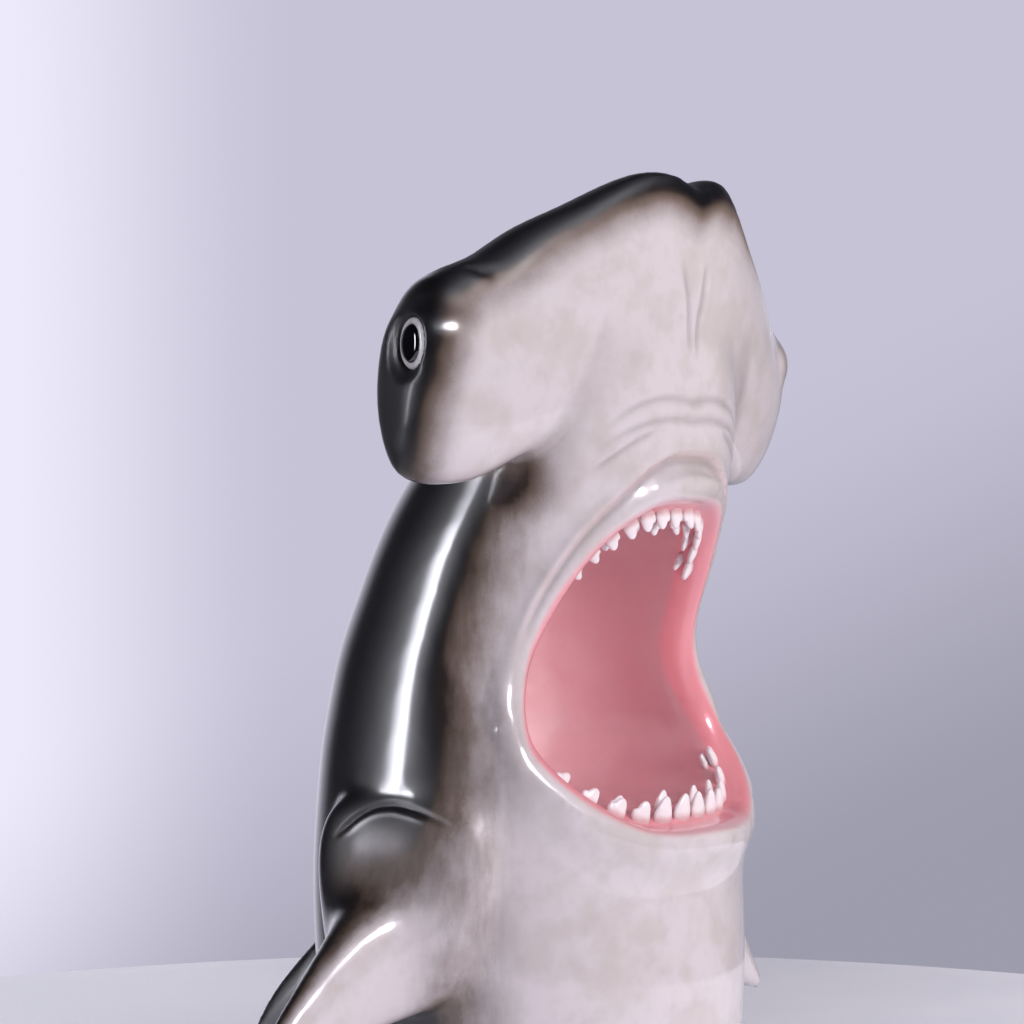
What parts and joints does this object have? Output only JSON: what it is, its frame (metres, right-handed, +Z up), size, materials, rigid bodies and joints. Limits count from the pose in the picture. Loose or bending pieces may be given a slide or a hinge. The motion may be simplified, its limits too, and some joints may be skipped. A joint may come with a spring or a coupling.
{
  "type": "shark figurine",
  "caption": "Life-size hammerhead shark figure, rearing up with its mouth wide open, with rows of set-in teeth, two set-in eyes, side and back fins and a flat base.",
  "frame": {"origin": "middle of the flat base, on the floor", "axes": "+Z up, from the base to the hammer; -Y towards the belly and the open mouth; +Y towards the back fin; +X across the hammer to the right eye"},
  "size_m": [0.9926, 0.6338, 1.0899],
  "materials": {
    "skin": "airbrushed gloss lacquer over glass-fibre: pale belly, grey flanks, black back, pink mouth",
    "tooth": "off-white gloss enamel",
    "eye": "black gloss pupil in a white ring"
  },
  "bodies": {
    "root": {"body": "skin", "eye_left": "eye", "eye_right": "eye", "tooth_lower_inner_01": "tooth", "tooth_lower_inner_02": "tooth", "tooth_lower_inner_03": "tooth", "tooth_lower_inner_04": "tooth", "tooth_lower_inner_05": "tooth", "tooth_lower_inner_06": "tooth", "tooth_lower_outer_01": "tooth", "tooth_lower_outer_02": "tooth", "tooth_lower_outer_03": "tooth", "tooth_lower_outer_04": "tooth", "tooth_lower_outer_05": "tooth", "tooth_lower_outer_06": "tooth", "tooth_lower_outer_07": "tooth", "tooth_lower_outer_08": "tooth", "tooth_lower_outer_09": "tooth", "tooth_lower_outer_10": "tooth", "tooth_lower_outer_11": "tooth", "tooth_lower_outer_12": "tooth", "tooth_upper_inner_01": "tooth", "tooth_upper_inner_02": "tooth", "tooth_upper_inner_03": "tooth", "tooth_upper_inner_04": "tooth", "tooth_upper_inner_05": "tooth", "tooth_upper_inner_06": "tooth", "tooth_upper_inner_07": "tooth", "tooth_upper_inner_08": "tooth", "tooth_upper_outer_01": "tooth", "tooth_upper_outer_02": "tooth", "tooth_upper_outer_03": "tooth", "tooth_upper_outer_04": "tooth", "tooth_upper_outer_05": "tooth", "tooth_upper_outer_06": "tooth", "tooth_upper_outer_07": "tooth", "tooth_upper_outer_08": "tooth", "tooth_upper_outer_09": "tooth", "tooth_upper_outer_10": "tooth", "tooth_upper_outer_11": "tooth", "tooth_upper_outer_12": "tooth", "tooth_upper_outer_13": "tooth"}
  },
  "joints": []
}
